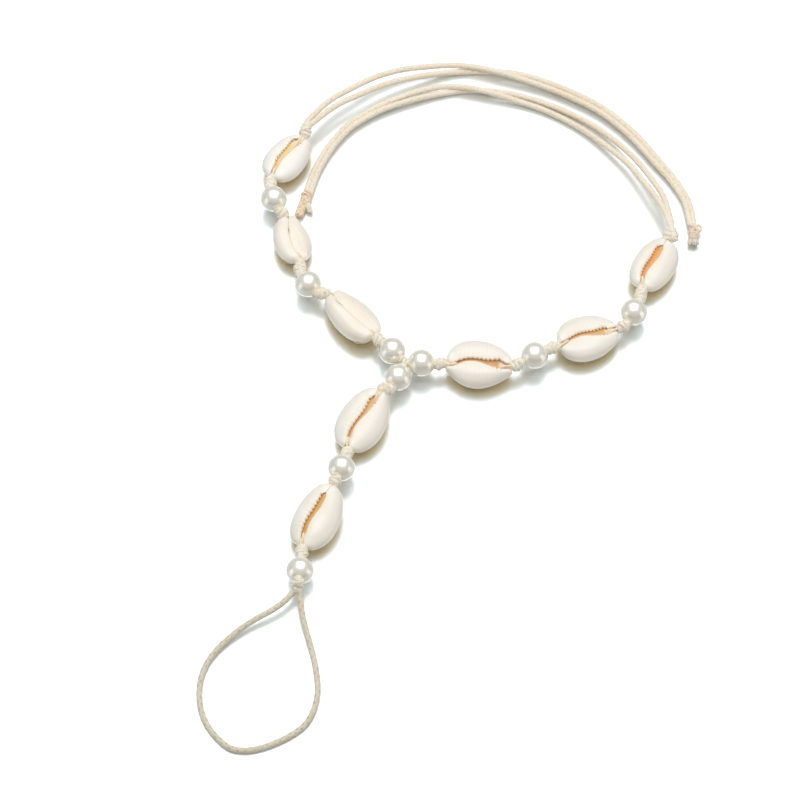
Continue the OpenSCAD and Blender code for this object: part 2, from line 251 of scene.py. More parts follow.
@dataclass(frozen=True)
class PearlFinish:
    """Pearl coat: white and half mirror-like under a clear skin."""

    name: str = "pearl_coat"
    body: str = "fff9ee"
    cloud: str = "fbf2e2"

    def material(self) -> Material:
        """Makes the finish.

        Returns:
            The material.
        """
        tree = ShaderTree(bpy.data.materials.new(self.name))
        cloud = tree.noise(260.0, 2.0)
        surface = {
            "Base Color": tree.blend(tree.span(cloud, -0.4, 1.2), self.body, self.cloud),
            "Roughness": tree.span(cloud, 0.18, 0.22),
            "Metallic": 0.38,
            "Coat Weight": 0.9,
            "Coat Roughness": 0.05,
            "IOR": 1.55,
        }
        tree.finish(surface, tree.noise(1500.0, 2.0), 0.000006)
        return tree.owner


@dataclass(frozen=True)
class CordFinish:
    """Waxed cotton cord, with painted shade in the grooves between its plies and painted light where it runs inside
    the shells' canals.
    """

    name: str
    light: str
    dark: str
    # The colour of the painted shade in the grooves between the plies, and how strongly it is laid on.
    groove: str
    depth: float = 0.6

    def material(self) -> Material:
        """Makes the finish.

        Returns:
            The material.
        """
        tree = ShaderTree(bpy.data.materials.new(self.name))
        colour = tree.blend(tree.span(tree.noise(170.0, 3.0), -0.2, 1.2), self.light, self.dark)
        # Painted shade: specks in the grooves between the plies are darkened towards the groove colour.
        speck = tree.ramp(tree.noise(1300.0, 3.0), (0.4, "000000"), (0.62, "ffffff"))
        depth = tree.blend(tree.mask("groove"), "000000", speck)
        colour = tree.blend(tree.scaled(depth, self.depth), colour, self.groove)
        # Painted light: strands inside the shells' canals lie in shade there and are painted lighter and warmer,
        # towards fbe6c8.
        colour = tree.blend(tree.mask("warm"), colour, "fbe6c8")
        fibre = tree.noise(2600.0, 4.0)
        surface = {
            "Base Color": tree.blend(tree.mask("pale"), colour, "f8f6ec"),
            "Roughness": tree.span(fibre, 0.5, 0.75),
            "Sheen Weight": 0.2,
            "Sheen Roughness": 0.5,
            "Subsurface Weight": 0.12,
            "Subsurface Radius": (1.0, 0.8, 0.6),
            "Subsurface Scale": 0.0006,
        }
        tree.finish(surface, fibre, 0.00006)
        return tree.owner


@dataclass(frozen=True)
class TableFinish:
    """Glossy near-white table top."""

    name: str = "table_top"
    colour: str = "f7fbfd"

    def material(self) -> Material:
        """Makes the finish.

        Returns:
            The material.
        """
        tree = ShaderTree(bpy.data.materials.new(self.name))
        gloss = tree.span(tree.noise(40.0, 2.0), 0.26, 0.3)
        tree.finish({"Base Color": self.colour, "Roughness": gloss, "Metallic": 0.6, "IOR": 1.5})
        return tree.owner


@dataclass
class MeshParts:
    """Points and faces that end up in one mesh, in millimetres, with masks at the points."""

    points: list[Array] = field(default_factory=list)
    faces: list[Array] = field(default_factory=list)
    masks: dict[str, list[Array]] = field(default_factory=dict)
    count: int = 0

    def add(self, points: Array, *faces: Array, **masks: Array) -> None:
        """Adds one closed form.

        Args:
            points: Its points, three numbers each.
            faces: Arrays of triangles or quads that index the points.
            masks: A value for each point, by mask name.
        """
        self.points.append(points)
        self.faces.extend(f + self.count for f in faces)
        for name, values in masks.items():
            self.masks.setdefault(name, []).append(values)
        self.count += len(points)

    def cord(self, line: Array, radius: ArrayLike, sides: int, ply: Ply = Ply.BRAIDED, **masks: ArrayLike) -> None:
        """Sweeps a round cord along a line, shapes its plies and marks the grooves between them, for painted shade.

        Args:
            line: The points of its middle.
            radius: The radius at each point, or one for all.
            sides: Points round the cord.
            ply: How it is laid up.
            masks: A value for each point of the line, or one for all, by mask name.
        """
        way, across, up = frames(line)
        radius = np.broadcast_to(radius, len(line)).astype(float)
        a = FULL_TURN * np.arange(sides) / sides
        turn, place = np.meshgrid(a, distances(line))
        if ply is Ply.BRAIDED:
            lay, depth = FULL_TURN * place / BRAID_PITCH, 0.07
            lump = np.maximum(np.cos(3 * turn + lay), np.cos(3 * turn - lay))
        else:
            lump, depth = np.cos(3 * turn + FULL_TURN * place / TWIST_PITCH), 0.06
        r = radius[:, None] * (1 + depth * (lump - 0.4))
        points = line[:, None] + r[..., None] * around(a, across[:, None], up[:, None])
        # The grooves between the plies, where shade is painted.
        groove = np.clip(0.6 - 0.6 * lump, 0, 1)
        ends = np.stack([line[0] - 0.3 * radius[0] * way[0], line[-1] + 0.3 * radius[-1] * way[-1]])
        n, last = len(line) * sides, (len(line) - 1) * sides
        i = np.arange(sides)
        j = (i + 1) % sides
        caps = [np.stack([np.full(sides, n), j, i], 1), np.stack([np.full(sides, n + 1), last + i, last + j], 1)]
        shades = {name: np.broadcast_to(value, len(line)) for name, value in masks.items()}
        self.add(
            np.concatenate([points.reshape(-1, 3), ends]),
            grid_faces(len(line), sides),
            *caps,
            groove=np.r_[groove.ravel(), 0.5, 0.5],
            **{name: np.r_[np.repeat(shade, sides), shade[0], shade[-1]] for name, shade in shades.items()},
        )

    def piece(self, name: str, node: str, material: Material) -> bpy.types.Object:
        """Makes the mesh and puts it in the place of its solid.

        Args:
            name: The piece's name.
            node: The solid's node.
            material: Its finish.

        Returns:
            The object, smooth shaded and linked to the scene.
        """
        mesh = bpy.data.meshes.new(name)
        faces = [tuple(row) for block in self.faces for row in block.tolist()]
        mesh.from_pydata((np.concatenate(self.points) * MM).tolist(), [], faces)
        for mask, values in self.masks.items():
            layer = mesh.attributes.new(mask, "FLOAT", "POINT")
            layer.data.foreach_set("value", np.concatenate(values).astype(np.float32))
        mesh.shade_smooth()
        mesh.update()
        mesh.materials.append(material)
        piece = bpy.data.objects.new(name, mesh)
        bpy.context.scene.collection.objects.link(piece)
        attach(piece, "root")
        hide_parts(node)
        log.info("%s has %d points", name, len(mesh.vertices))
        return piece


def grid_faces(rows: int, columns: int) -> Array:
    """Finds the quads of rows of points, each row closed on itself.

    Args:
        rows: How many rows there are.
        columns: Points in a row.

    Returns:
        Four point numbers for each quad.
    """
    a = np.arange((rows - 1) * columns)
    b = a - a % columns + (a + 1) % columns
    return np.stack([a, b, b + columns, a + columns], 1)


def distances(line: Array) -> Array:
    """Returns how far along a line each of its points lies."""
    return np.r_[0, np.cumsum(np.linalg.norm(np.diff(line, axis=0), axis=1))]


def resampled(line: ArrayLike, step: float, blur: float) -> Array:
    """Spreads points evenly along a line.

    Args:
        line: The line's points.
        step: The distance between the new points.
        blur: How far corners are rounded.

    Returns:
        The new points, from end to end.
    """
    line = np.asarray(line, float)
    along = distances(line)
    places = np.linspace(0, along[-1], max(3, int(round(along[-1] / step)) + 1))
    out = np.stack([np.interp(places, along, line[:, i]) for i in range(3)], 1)
    reach = int(3 * blur / step) + 1
    weights = np.exp(-0.5 * (np.arange(-reach, reach + 1) * step / blur) ** 2)
    weights /= weights.sum()
    first = 2 * out[0] - out[1 : reach + 1][::-1]
    last = 2 * out[-1] - out[-reach - 1 : -1][::-1]
    wide = np.concatenate([first, out, last])
    return np.stack([np.convolve(wide[:, i], weights, "valid") for i in range(3)], 1)


def catmull(points: ArrayLike, steps: int) -> Array:
    """Draws a smooth line through points.

    Args:
        points: The points.
        steps: Spans between each two of them.

    Returns:
        The line's points.
    """
    p = np.asarray(points, float)
    wide = np.concatenate([[p[0]], p, [p[-1]]])
    a, b, c, d = wide[:-3], wide[1:-2], wide[2:-1], wide[3:]
    square, cube = 2 * a - 5 * b + 4 * c - d, 3 * b - a - 3 * c + d
    rows = [0.5 * (2 * b + (c - a) * t + square * t**2 + cube * t**3) for t in np.arange(steps) / steps]
    return np.concatenate([np.stack(rows, 1).reshape(-1, 3), [p[-1]]])


def frames(line: Array) -> tuple[Array, Array, Array]:
    """Works out directions along a line that don't spin about it.

    Args:
        line: The line's points.

    Returns:
        The unit vectors along, across and over the line at each point.
    """
    way = np.gradient(line, axis=0)
    way /= np.linalg.norm(way, axis=1)[:, None]
    across = np.zeros_like(way)
    start = np.cross(way[0], [0, 0, 1])
    across[0] = unit(start if np.linalg.norm(start) > 0.05 else np.cross(way[0], [1, 0, 0]))
    for i in range(1, len(way)):
        across[i] = unit(across[i - 1] - way[i] * (across[i - 1] @ way[i]))
    return way, across, np.cross(across, way)


def braid(line: Array, reach: float, pitch: float) -> list[Array]:
    """Plaits three strands along a line.

    Args:
        line: The points of the plait's middle.
        reach: How far each strand swings to the side.
        pitch: The length of one full swing.

    Returns:
        The middle line of each strand.
    """
    _, across, up = frames(line)
    swings = [FULL_TURN * (distances(line) / pitch + k / 3)[:, None] for k in range(3)]
    return [line + reach * (np.sin(a) * across + 0.45 * np.sin(2 * a) * up) for a in swings]


@dataclass
class Slit:
    """Where the slit of a cowrie runs, as measured on the photograph, in millimetres off the middle."""

    left: tuple[float, ...]
    right: tuple[float, ...]
    glow: float
    pitch: float
    string_from: float
    spots: float = -1.0
    front_shut: bool = False
    curve: Array = field(init=False)

    # Places along half of the length that the edges are given at, rear tip to front tip.
    PLACES = (-1.0, -0.8, -0.6, -0.4, -0.2, 0.0, 0.2, 0.4, 0.6, 0.68, 0.78, 1.0)

    def __post_init__(self) -> None:
        """Draws smooth lines through the measured edges."""
        self.curve = catmull(np.stack([self.PLACES, self.left, self.right], 1), 12)

    @property
    def shut(self) -> bool:
        """Whether the two lips touch."""
        return self.right[5] - self.left[5] < 0.2

    def edges(self, u: Array) -> tuple[Array, Array]:
        """Returns both edges at u."""
        return np.interp(u, self.curve[:, 0], self.curve[:, 1]), np.interp(u, self.curve[:, 0], self.curve[:, 2])

    def line(self, u: Array) -> tuple[Array, Array]:
        """Returns the slit's middle at u, and half of its width."""
        left, right = self.edges(u)
        return (left + right) / 2, np.maximum((right - left) / 2, 0.03)


@dataclass
class Cowrie:
    """A whole cowrie with its slit up and its front tip at +Y before it is turned."""

    letter: str
    x: float
    y: float
    turn: float
    tilt: float
    roll: float
    length: float
    left_w: float
    right_w: float
    left_point: float
    right_point: float
    bias: float
    finish: ShellFinish
    slit: Slit
    rings: int = 197
    tip_w: float = 4.4
    wall: float = 0.9
    lips_share: float = 0.18
    back_share: float = 0.24
    outline_power: float = 2.2
    string_sunk: float = 3.3
    string_shown: float = 0.52
    lift: float = 0.0

    # Points across the throat, the roll of a lip, its lobe and the back, on one side.
    ZONES = (4, 12, 19, 12)

    def __post_init__(self) -> None:
        """Finds how high the shell lies on its back."""
        self.lift = -float(self.turned(self.with_length(self.sections()[0]))[..., 2].min())

    def ring_places(self) -> Array:
        """Returns the places of the rings along half of the length, closer at the tips."""
        t = np.linspace(-1, 1, self.rings)
        return 1.3 * t - 0.3 * t**3

    def swell(self, u: Array, point: float, bias: float = 0.12) -> Array:
        """Returns the outline's share of its full width at u."""
        return np.clip(1 - np.abs(u + bias * (1 - u * u)) ** self.outline_power, 0, 1) ** point

    def half_width(self, u: Array, side: Side) -> Array:
        """Measures from the middle to the margin on one side.

        Args:
            u: Places along half of the length.
            side: Which side.

        Returns:
            The distance at each place.
        """
        if side is Side.LEFT:
            return mix(self.tip_w / 2, self.left_w, self.swell(u, self.left_point))
        return mix(self.tip_w / 2, self.right_w, self.swell(u, self.right_point, self.bias))

    def crest(self, u: Array) -> Array:
        """Returns the height of the lips over the margin."""
        return self.lips_share * self.length * (1 - 0.35 * u * u)

    @property
    def canal_floor(self) -> float:
        """The height of the bottom of the canals at the tips."""
        return float(self.crest(np.array(1.0))) - CANAL_W

    def dome_depth(self, u: Array) -> Array:
        """Returns the depth of the back under the margin."""
        return mix(1.0 - self.canal_floor, self.back_share * self.length, self.swell(u, 1.3))

    def measures(self, u: Array, side: Side) -> list[Array]:
        """Returns the slit's middle and half width, the crest, the half width and the back's depth, as columns."""
        rows = (*self.slit.line(u), self.crest(u), self.half_width(u, side), self.dome_depth(u))
        return [row[:, None] for row in rows]

    def wave(self, u: Array, side: Side) -> Array:
        """Returns a wave along a lip, 1 on each tooth and 0 between two."""
        shift = 0.0 if side is Side.LEFT else 0.4
        return 0.5 + 0.5 * np.cos(FULL_TURN * (u * self.length / 2 / self.slit.pitch + shift))

    def mask(self, *zones: ArrayLike) -> Array:
        """Returns a mask of one side from its values in each zone."""
        return np.concatenate([np.broadcast_to(z, (self.rings, n)) for z, n in zip(zones, self.ZONES)], 1)

    def outer_side(self, u: Array, side: Side) -> tuple[Array, dict[str, Array]]:
        """Shapes one side of the outside, from the throat of the slit to beside the bottom.

        Args:
            u: Places along half of the length.
            side: Which lip.

        Returns:
            Points across and up for each place, and the masks at them.
        """
        s, left, shut = side.value, side is Side.LEFT, self.slit.shut
        sunk = shut and not left
        m, g, top, w, d = self.measures(u, side)
        wave, u = self.wave(u, side)[:, None], u[:, None]
        b_deg, a_deg, e_deg = (np.linspace(*turn)[None] for turn in ((90, 12, 12), (0, 90, 19), (5, 84, 12)))
        b, a, e = np.radians(b_deg), np.radians(a_deg), np.radians(e_deg)
        toothed = 0.0 if shut else smooth((0.74 - u) / 0.1) * smooth((u + 0.74) / 0.2)
        tooth, notch = (wave * toothed, (1 - wave) * toothed) if left else (0.0, 0.0)
        bite = np.minimum(0.42, 0.5 * g) * tooth
        shallow = smooth((u - 0.58) / 0.14) * self.slit.front_shut
        # The wall under the right lip slopes down under the left lip and closes the view into the shell.
        covered = smooth((0.92 - np.abs(u)) / 0.1)
        if left:
            shift = np.array([-0.3, -0.25, -0.18, -0.1])
            deep = np.array([0.98, 0.84, 0.7, 0.56]) * (1 - 0.45 * smooth((u - 0.6) / 0.12))
        else:
            shift = 2 * np.minimum(g, 1.2) * np.array([1.25, 0.95, 0.58, 0.22]) + 0.05
            deep = np.array([1.16, 1.02, 0.82, 0.6])
        shift = mix(-0.05, shift, covered) * (1 - shallow)
        deep = mix(mix(np.array([2.3, 1.7, 1.2, 0.8]), deep, covered), np.array([0.16, 0.14, 0.12, 0.1]), shallow)
        throat = np.stack([m + s * (g - shift - 0.25 * bite), top - deep], -1)
        lip_h, lip_w = (0.42, 2.4) if sunk else (0.3, 1.1) if shut else (0.5, 0.7)
        lip_h = mix(lip_h, 0.07, shallow)
        away = lip_w * (1 - np.sin(b)) - bite * np.sin(b) ** 1.5
        drop = lip_h * (1 - np.cos(b)) - 0.08 * tooth * np.cos(b) + 0.1 * notch * np.sin(b) ** 2
        if sunk:
            share = 1 - b_deg / 90
            away = lip_w * share
            drop = lip_h * (0.25 * (1 - np.cos(b)) + 0.75 * (0.5 + 0.5 * np.cos(np.pi * share)))
        roll = np.stack([m + s * (g + away), top - drop], -1)
        crest_x = s * m + g + lip_w * (0.87 if sunk else 1.0)
        fade = bell(a_deg, 0, 34) * smooth((0.85 - np.abs(u)) / 0.2)
        rib = 0.08 * tooth * bell(a_deg, 0, 10) + (0.0 if shut else 0.016) * wave * fade
        rim_a, rim_e = bell(a_deg, 90, 9), bell(e_deg, 0, 10)
        lobe = np.stack([s * (crest_x + (w - crest_x) * np.sin(a) + 0.12 * rim_a), (top + rib) * np.cos(a)], -1)
        # A fold near the rear of a shut shell's left side: a small dent, with painted shade along it.
        near = bell(u, -0.8, 0.14, 4) * (shut and left)
        fold = 0.8 * near * bell(e_deg, 12, 5)
        dome_x = w * np.cos(e) + 0.12 * rim_e + near * (0.6 * bell(e_deg, 34, 13) - 0.3 * fold)
        dome = np.stack([s * dome_x, -d * np.sin(e)], -1)
        tinted = smooth((0.84 - u) / 0.2) * smooth((u + 1.02) / 0.25)
        spotted = bell(u, self.slit.spots, 0.13)
        if shut:
            edge = (0.9 if sunk else 0.5) * tinted
            glow = (0.9 if sunk else 0.4) * np.exp(-a_deg / (16 if sunk else 8)) * tinted
            open_slit, inside = 0.3, (0.0, 0.0)
            # Painted shade in spots along the crease of a shut shell.
            under = 0.85 * spotted * (0.5 + 0.5 * wave)
            dark = under * smooth((b_deg - (72 if sunk else 50)) / 18)
        else:
            edge = smooth((b_deg - (46 if left else 25)) / (26 if left else 60)) * (1 - 0.75 * tooth)
            # Painted light: the left lip's roll gets at least some peach, so its teeth stay light in their shade.
            if left:
                edge = np.maximum(edge, 0.45 * smooth((b_deg - 8) / 30))
            glow = 0.42 * np.exp(-a_deg / 8) * tinted
            open_slit = 0.3 + 0.7 * smooth((0.84 - u) / 0.1) * smooth((u + 0.8) / 0.14)
            # The left wall lies in the left lip's shade; its lower values paint it lighter and peachier: painted
            # light.
            depths = np.array([0.45, 0.5, 0.55, 0.6] if left else [1.0, 1.0, 1.0, 0.9]) * mix(1.0, 0.2, shallow)
            if self.slit.front_shut:
                depths = depths * (1 - 0.5 * smooth((u - 0.56) / 0.1))
            elif not left:
                depths = depths * (1 - 0.8 * smooth((u - self.slit.string_from - 0.02) / 0.16))
            inside = (depths, edge * (0.75 if left else 0.4))
            under = 0.0
            # Painted shade in the gaps between the right lip's teeth.
            dark = 0.0 if left else 0.9 * (self.slit.spots > 0) * spotted * (1 - wave) ** 1.6 * bell(b_deg, 38, 24)
        open_slit = open_slit * (1 - 0.75 * shallow)
        masks = {
            "slit": self.mask(1.0, edge, glow, 0.0) * open_slit,
            "slit_deep": self.mask(*inside, 0.0, 0.0) * open_slit,
            "back": self.mask(0.0, 0.0, 0.0, smooth((e_deg - 8) / 18)),
            # The margin's paler callus with a painted highlight along it.
            "rim": self.mask(0.0, 0.0, 0.8 * rim_a, 0.8 * rim_e),
            # Where shade is painted in the grooves between the ribs.
            "groove": self.mask(0.0, 0.0, 0.6 * (1 - wave) * fade, 0.0),
            # Painted shade on the lobes near the margin.
            "band": self.mask(0.0, 0.0, 0.4 * bell(a_deg, 70, 13), 0.0),
            # Painted shade in the crease, between the right lip's teeth and along the fold.
            "crease": self.mask(under, dark, 0.0, fold),
        }
        return np.concatenate([throat, roll, lobe, dome], 1), masks

    def inner_side(self, u: Array, side: Side) -> Array:
        """Shapes one side of the hollow, from under the lip to beside the bottom.

        Args:
            u: Places along half of the length.
            side: Which lip.

        Returns:
            Points across and up for each place.
        """
        s = side.value
        m, g, top, w, d = self.measures(u, side)
        room = np.maximum(CANAL_W / 2 + 0.15 + s * m, w - self.wall - 0.4)
        floor_z = np.minimum(self.canal_floor, self.wall - d)
        roof_z = top - mix(0.7, 2.3, smooth((room - 1.3) / 2.0))
        start = np.arccos(np.clip((s * m + g + 0.3) / room, 0, 0.985))
        t = np.interp(np.linspace(0, 1, sum(self.ZONES)), [0, 0.3, 0.75, 1], [0, 0.12, 0.6, 0.96])
        angle = mix(start, -math.pi / 2, t)
        half = (roof_z - floor_z) / 2
        return np.stack([s * room * np.cos(angle), (roof_z + floor_z) / 2 + half * np.sin(angle)], -1)

    def sections(self) -> tuple[Array, Array, dict[str, Array]]:
        """Shapes the shell's sections.

        Returns:
            Points of the outside and of the hollow, across and up, and the outside's masks.
        """
        u = self.ring_places()
        (left, left_masks), (right, right_masks) = (self.outer_side(u, side) for side in Side)
        depth = self.dome_depth(u)
        floor_z = np.minimum(self.canal_floor, self.wall - depth)
        bottom, low = (np.stack([0 * u, z], -1)[:, None] for z in (-depth, floor_z))
        outer = np.concatenate([left, bottom, right[:, ::-1]], 1)
        hollow = [self.inner_side(u, side) for side in Side]
        inner = np.concatenate([hollow[0], low, hollow[1][:, ::-1]], 1)
        masks = {
            name: np.concatenate([rows, rows[:, -1:], right_masks[name][:, ::-1]], 1)
            for name, rows in left_masks.items()
        }
        close = np.clip((1 - np.abs(u)) * self.length / 2.4, 0, 1)
        full = np.sqrt(np.clip(1 - (1 - close) ** 2, 0.02, 1))[:, None, None]
        return inner + (outer - inner) * full, inner, masks

    def with_length(self, section: Array) -> Array:
        """Returns sections with their place along the shell filled in."""
        y = np.broadcast_to((self.ring_places() * self.length / 2)[:, None], section.shape[:2])
        return np.stack([section[..., 0], y, section[..., 1]], -1)

    def turned(self, p: Array) -> Array:
        """Rolls, tilts and turns points as the shell lies.

        Args:
            p: The points, three numbers each.

        Returns:
            The turned points.
        """
        r, t, z = (math.radians(v) for v in (self.roll, self.tilt, self.turn - 90))
        x, y, h = p[..., 0], p[..., 1], p[..., 2]
        x, h = x * math.cos(r) + h * math.sin(r), h * math.cos(r) - x * math.sin(r)
        y, h = y * math.cos(t) - h * math.sin(t), y * math.sin(t) + h * math.cos(t)
        x, y = x * math.cos(z) - y * math.sin(z), x * math.sin(z) + y * math.cos(z)
        return np.stack([x, y, h], -1)

    def placed(self, p: ArrayLike) -> Array:
        """Returns points of the shell where they lie on the table."""
        return self.turned(np.asarray(p, float)) + np.array([self.x, self.y, self.lift])

    def tip(self, end: int) -> Array:
        """Returns the point where the string leaves the front tip (1) or the rear tip (-1)."""
        return self.placed([0, end * (self.length / 2 + STRING_LEAD), self.canal_floor + CANAL_W / 2])

    def in_slit(self, u: float) -> Array:
        """Places the string in the slit, where it dips into the shell away from the tips.

        Args:
            u: A place along half of the length.

        Returns:
            The string's point.
        """
        rise = self.slit.string_from if u > 0 else 0.6
        depth = mix(self.string_sunk, self.string_shown, smooth((abs(u) - rise + 0.22) / 0.44))
        depth = mix(depth, 1.1, smooth((abs(u) - 0.9) / 0.1))
        x, right = self.slit.line(u)[0], self.slit.edges(u)[1]
        x = (max(x, right - 0.78) if u > 0 else x) * smooth((1.12 - abs(u)) / 0.2)
        return self.placed([x, u * self.length / 2, self.crest(u) - depth])

    def build(self, material: Material) -> bpy.types.Object:
        """Makes the shell.

        Args:
            material: The shell's finish.

        Returns:
            The piece.
        """
        outer, inner, masks = self.sections()
        count = outer.shape[1]
        points = self.placed(self.with_length(np.concatenate([outer, inner[:, ::-1]], 1))).reshape(-1, 3)
        hollow = np.ones_like(inner[..., 0])
        values = {"glow": np.full(len(points), self.slit.glow)}
        for name, rows in masks.items():
            values[name] = np.concatenate([rows, hollow * name.startswith("slit")], 1).ravel()
        a = np.arange(count - 1)
        b = 2 * count - 1 - a
        rear = np.stack([a, b, b - 1, a + 1], 1)
        front = rear[:, ::-1] + (self.rings - 1) * 2 * count
        parts = MeshParts()
        parts.add(points, grid_faces(self.rings, 2 * count), rear, front, **values)
        return parts.piece(f"cowrie_{self.letter}", f"shell_{self.letter}", material)


@dataclass
class Pearl:
    """A round drilled pearl on the string."""

    number: int
    middle: tuple[float, float, float]
    aim: Array = field(default_factory=lambda: np.array([1.0, 0.0, 0.0]))
    lead: float = 0.1
    worn: float = 0.25
    rows: int = 41
    sides: int = 64

    def face(self, end: int) -> Array:
        """Returns the point where the string leaves the pearl, ahead (1) or behind (-1)."""
        return self.middle + end * (PEARL_D / 2 + self.lead) * self.aim

    def build(self, material: Material) -> bpy.types.Object:
        """Makes the pearl.

        Args:
            material: The pearl's finish.

        Returns:
            The piece.
        """
        r, bore, worn = PEARL_D / 2, PEARL_BORE / 2, self.worn
        edge = math.asin((bore + worn) / r)
        a = np.linspace(edge, math.pi - edge, self.rows)
        turn = np.radians([25, 50, 75])
        lip_r = bore + worn - worn * np.sin(turn)
        lip_z = r * math.cos(edge) - worn * (1 - np.cos(turn))
        profile_r = np.r_[lip_r[::-1], r * np.sin(a), lip_r, bore, bore][:, None, None]
        profile_z = np.r_[lip_z[::-1], r * np.cos(a), -lip_z, -lip_z[-1] + worn, lip_z[-1] - worn][:, None, None]
        across = unit(np.cross(self.aim, [0, 0, 1]))
        ring = around(FULL_TURN * np.arange(self.sides) / self.sides, across, np.cross(across, self.aim))
        points = (profile_r * ring + profile_z * self.aim).reshape(-1, 3)
        faces = grid_faces(len(profile_r) + 1, self.sides)[:, ::-1] % len(points)
        parts = MeshParts()
        parts.add(points + self.middle, faces)
        return parts.piece(f"round_pearl_{self.number}", f"pearl_{self.number}", material)


@dataclass
class Knot:
    """A plump knot in the doubled cord: a coil about the two strands, with one turn laid across it."""

    start: ArrayLike
    end: ArrayLike
    seed: int
    width: float = 3.9
    thick: float = 0.6
    mouth: float = 1.28
    into: float = 0.42

    def at(self, t: Array) -> Array:
        """Returns the points at the shares t of the way through the knot."""
        return self.start + (np.asarray(self.end) - self.start) * t[:, None]

    @property
    def span(self) -> float:
        """The knot's length."""
        return float(np.linalg.norm(np.asarray(self.end) - self.start))

    def heart(self) -> tuple[Array, Array]:
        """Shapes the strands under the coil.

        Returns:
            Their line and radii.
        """
        over = self.into / self.span
        t = np.linspace(-over, 1 + over, 28)
        swell = np.sin(math.pi * np.clip(t, 0.001, 0.999)) ** 0.35
        return self.at(t), mix(self.mouth, self.width / 2 - 0.62 * self.thick, swell)

    def wraps(self) -> list[tuple[Array, Array]]:
        """Winds the cord about the heart.

        Returns:
            The middle line and radii of each winding.
        """
        rng = np.random.default_rng(self.seed)
        axis = (np.asarray(self.end) - self.start) / self.span
        turns = max(1.2, 0.86 * self.span / (2 * self.thick))
        # Direction, phase, turns, how far it stands proud, and the shares of the way that it runs between.
        plans = (
            (1, rng.uniform(0, 6.28), turns, 0.0, 0.04, 0.96),
            (-1, rng.uniform(0, 6.28), 0.7, 0.22, 0.14, 0.86),
        )
        out = []
        for direction, phase, count, proud, low, high in plans:
            t = np.linspace(low, high, int(44 * count) + 16)
            line = self.at(t)
            _, across, up = frames(line)
            share = (t - low) / (high - low)
            angle = phase + direction * FULL_TURN * count * share
            bulge = np.sin(math.pi * np.clip(share, 0.08, 0.92)) ** 0.35
            away = mix(0.75, self.width / 2 - self.thick + proud, bulge)[:, None]
            lean = (0.26 * np.cos(angle + rng.uniform(0, 6.28)) * bulge)[:, None] * axis
            out.append((line + away * around(angle, across, up) + lean, self.thick * mix(0.75, 1.0, bulge)))
        return out

    def add_to(self, parts: MeshParts) -> None:
        """Adds the knot's heart and windings to a mesh.

        Args:
            parts: The mesh.
        """
        parts.cord(*self.heart(), 16, warm=0.0)
        for wrap in self.wraps():
            parts.cord(*wrap, 11, warm=0.0)


@dataclass
class KnottedString:
    """A doubled cord with a knot between each two of its runs, some of which lie inside shells."""

    name: str
    runs: list[Array]
    seed: int
    extra: list[Knot]
    inside: list[int]
    beads: list[Pearl]
    step: float = 0.2
    strand_r: float = 0.39
    apart: float = 0.34
    lay: float = 9.0
    knot_turn: float = 0.4

    # The cord's swelling at a pearl's bores: places from the pearl's middle, and radii.
    COLLAR = ((3.5, 1.3), (3.7, 1.32), (3.9, 1.32), (4.1, 1.28), (4.3, 1.1))

    def build(self, material: Material) -> bpy.types.Object:
        """Makes both strands and every knot.

        Args:
            material: The cord's finish.

        Returns:
            The piece.
        """
        spans = [(a[-1], b[0]) for a, b in zip(self.runs, self.runs[1:])]
        line = resampled(np.concatenate(self.runs), self.step, 0.35)
        along = distances(line)
        twist = FULL_TURN * along / self.lay
        for ends in spans:
            near = [along[int(np.argmin(np.linalg.norm(line - p, axis=1)))] for p in ends]
            twist += FULL_TURN * self.knot_turn * smooth((along - near[0]) / max(0.1, near[1] - near[0]))
        _, across, up = frames(line)
        # Painted light: how much the strands are lit up warm where they run inside a shell's canal, in its shade.
        warm = np.zeros(len(line))
        for i in self.inside:
            near = np.linalg.norm(line[:, None] - self.runs[i][None, 1:-1], axis=2).min(1)
            warm = np.maximum(warm, smooth((1.6 - near) / 1.0))
        parts = MeshParts()
        for phase in (0.0, math.pi):
            parts.cord(line + self.apart * around(twist + phase, across, up), self.strand_r, 12, warm=warm)
        for bead in self.beads:
            for end in (-1, 1):
                collar = np.array([bead.middle + end * place * bead.aim for place, _ in self.COLLAR])
                parts.cord(collar, [radius for _, radius in self.COLLAR], 16, warm=0.0)
        for knot in (*(Knot(*ends, self.seed + i) for i, ends in enumerate(spans)), *self.extra):
            knot.add_to(parts)
        return parts.piece(f"knotted_{self.name}", self.name, material)


@dataclass
class FreeCord:
    """A bare strand of braided cord that lies free on the table."""

    node: str
    line: Array
    far_end: str
    pieces: list[bpy.types.Object] = field(default_factory=list)
    radius: float = 0.9

    def build(self, material: Material) -> bpy.types.Object:
        """Makes the strand at its real length.

        Args:
            material: The cord's finish.

        Returns:
            The piece.
        """
        line = resampled(self.line, 0.3, 0.8)
        parts = MeshParts()
        parts.cord(line, self.radius, 16)
        piece = parts.piece(f"cord_{self.node}", self.node, material)
        return piece


